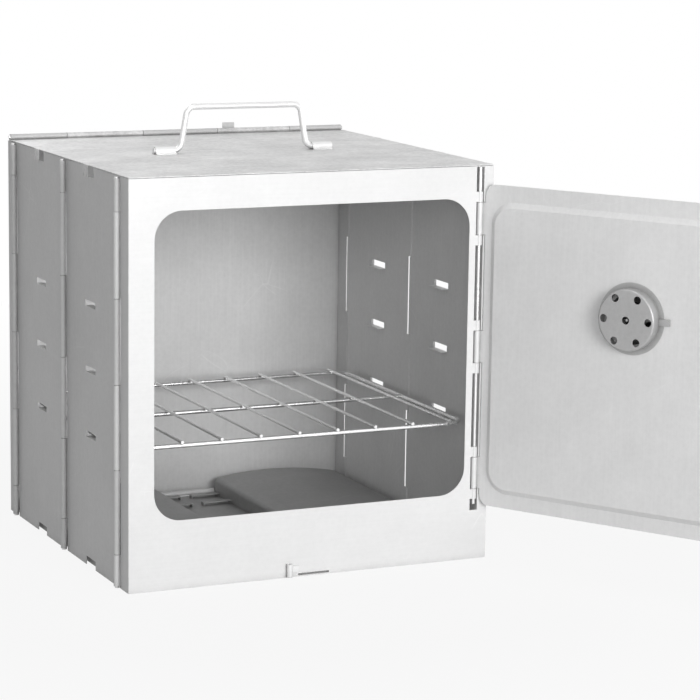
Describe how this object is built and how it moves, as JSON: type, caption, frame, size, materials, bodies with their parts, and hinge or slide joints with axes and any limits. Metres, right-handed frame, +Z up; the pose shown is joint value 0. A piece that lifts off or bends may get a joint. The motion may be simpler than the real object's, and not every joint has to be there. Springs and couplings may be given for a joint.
{
  "type": "folding camp oven",
  "caption": "Sheet-metal camp oven box with hinged folding walls, swinging door with thermometer, lift-up top, wire rack and bail handle.",
  "frame": {"origin": "centre of the oven box's base, on the surface it stands on", "axes": "+X to the right seen from the door side, +Y to the back, +Z up"},
  "size_m": [0.4491, 0.5323, 0.3576],
  "materials": {
    "front_sheet": "pale satin sheet",
    "door_sheet": "satin aluminised sheet",
    "wall_sheet": "satin aluminised sheet",
    "back_sheet": "satin aluminised sheet",
    "top_sheet": "mottled aluminised sheet",
    "floor_sheet": "satin aluminised sheet",
    "pin_wire": "drawn wire",
    "rack_wire": "plated wire",
    "handle_wire": "plated wire",
    "clip_steel": "bright strip",
    "rivet_steel": "bright rivet",
    "gauge_case": "polished",
    "dial_face": "enamel",
    "dial_glass": "clear",
    "pointer_paint": "matt black",
    "bimetal": "bimetal strip",
    "latch_steel": "plated"
  },
  "bodies": {
    "back": {"back_panel": "back_sheet", "lid_stop_tab": "back_sheet", "top_hinge_pin": "pin_wire", "bottom_hinge_pin": "pin_wire"},
    "left_rear_leaf": {"left_rear_wall": "wall_sheet", "left_rear_hinge_pin": "pin_wire"},
    "left_front_leaf": {"left_front_wall": "wall_sheet", "left_front_hinge_pin": "pin_wire", "left_middle_hinge_pin": "pin_wire"},
    "right_rear_leaf": {"right_rear_wall": "wall_sheet", "right_rear_hinge_pin": "pin_wire"},
    "right_front_leaf": {"right_front_wall": "wall_sheet", "right_front_hinge_pin": "pin_wire", "right_middle_hinge_pin": "pin_wire"},
    "front": {"front_frame": "front_sheet", "door_hinge_rod": "pin_wire", "front_catch": "clip_steel"},
    "door": {"door_panel": "door_sheet", "thermometer_guard": "door_sheet", "thermometer_guard_clip": "clip_steel", "thermometer_case": "gauge_case", "thermometer_dial": "dial_face", "thermometer_lens": "dial_glass", "thermometer_coil": "bimetal"},
    "pointer": {"thermometer_pointer": "pointer_paint", "thermometer_spindle": "pin_wire"},
    "latch": {"latch_handle": "latch_steel", "latch_spindle": "latch_steel", "latch_tongue": "latch_steel"},
    "lid": {"top_panel": "top_sheet", "left_handle_clip": "clip_steel", "right_handle_clip": "clip_steel"},
    "handle": {"handle_bail": "handle_wire"},
    "floor": {"bottom_panel": "floor_sheet", "left_heat_baffle": "floor_sheet", "right_heat_baffle": "floor_sheet", "baffle_rivets": "rivet_steel"},
    "rack": {"rack_frame": "rack_wire", "rack_bars": "rack_wire"}
  },
  "joints": [
    {"name": "left_rear_fold", "type": "hinge", "parent": "back", "child": "left_rear_leaf", "pos_m": [-0.1544, 0.1255, 0], "axis": [0, 0, 1], "range_deg": [0, 1.3]},
    {"name": "left_middle_fold", "type": "hinge", "parent": "left_rear_leaf", "child": "left_front_leaf", "pos_m": [-0.1544, 0, 0], "axis": [0, 0, -1], "range_deg": [0, 2.6]},
    {"name": "left_front_fold", "type": "hinge", "parent": "left_front_leaf", "child": "front", "pos_m": [-0.1544, -0.1255, 0], "axis": [0, 0, 1], "range_deg": [0, 1.3]},
    {"name": "right_rear_fold", "type": "hinge", "parent": "back", "child": "right_rear_leaf", "pos_m": [0.1544, 0.1255, 0], "axis": [0, 0, -1], "range_deg": [0, 1.3]},
    {"name": "right_middle_fold", "type": "hinge", "parent": "right_rear_leaf", "child": "right_front_leaf", "pos_m": [0.1544, 0, 0], "axis": [0, 0, 1], "range_deg": [0, 2.6]},
    {"name": "door_hinge", "type": "hinge", "parent": "front", "child": "door", "pos_m": [0.1413, -0.1445, 0.173], "axis": [0, 0, 1], "range_deg": [-121.5, 0]},
    {"name": "pointer_turn", "type": "hinge", "parent": "door", "child": "pointer", "pos_m": [0.21545, -0.26091, 0.21], "axis": [-0.8526, -0.5225, 0], "range_deg": [0, 270], "stiffness_Nm_per_rad": 0.002},
    {"name": "latch_turn", "type": "hinge", "parent": "door", "child": "latch", "pos_m": [0.27763, -0.36238, 0.173], "axis": [0.8526, 0.5225, 0], "range_deg": [0, 90]},
    {"name": "lid_hinge", "type": "hinge", "parent": "back", "child": "lid", "pos_m": [0, 0.1435, 0.3199], "axis": [-1, 0, 0], "range_deg": [0, 115]},
    {"name": "handle_hinge", "type": "hinge", "parent": "lid", "child": "handle", "pos_m": [0, 0, 0.3207], "axis": [1, 0, 0], "range_deg": [-85, 85]},
    {"name": "floor_hinge", "type": "hinge", "parent": "back", "child": "floor", "pos_m": [0, 0.14, 0.0025], "axis": [-1, 0, 0], "range_deg": [0, 17]},
    {"name": "rack_tilt", "type": "hinge", "parent": "back", "child": "rack", "pos_m": [-0.1467, 0, 0.1056], "axis": [0, -1, 0], "range_deg": [0, 30]}
  ],
  "couplings": [
    {"joint": "left_middle_fold", "follows": "left_rear_fold", "ratio": 2},
    {"joint": "left_front_fold", "follows": "left_rear_fold", "ratio": 1},
    {"joint": "right_rear_fold", "follows": "left_rear_fold", "ratio": 1},
    {"joint": "right_middle_fold", "follows": "left_rear_fold", "ratio": 2}
  ]
}
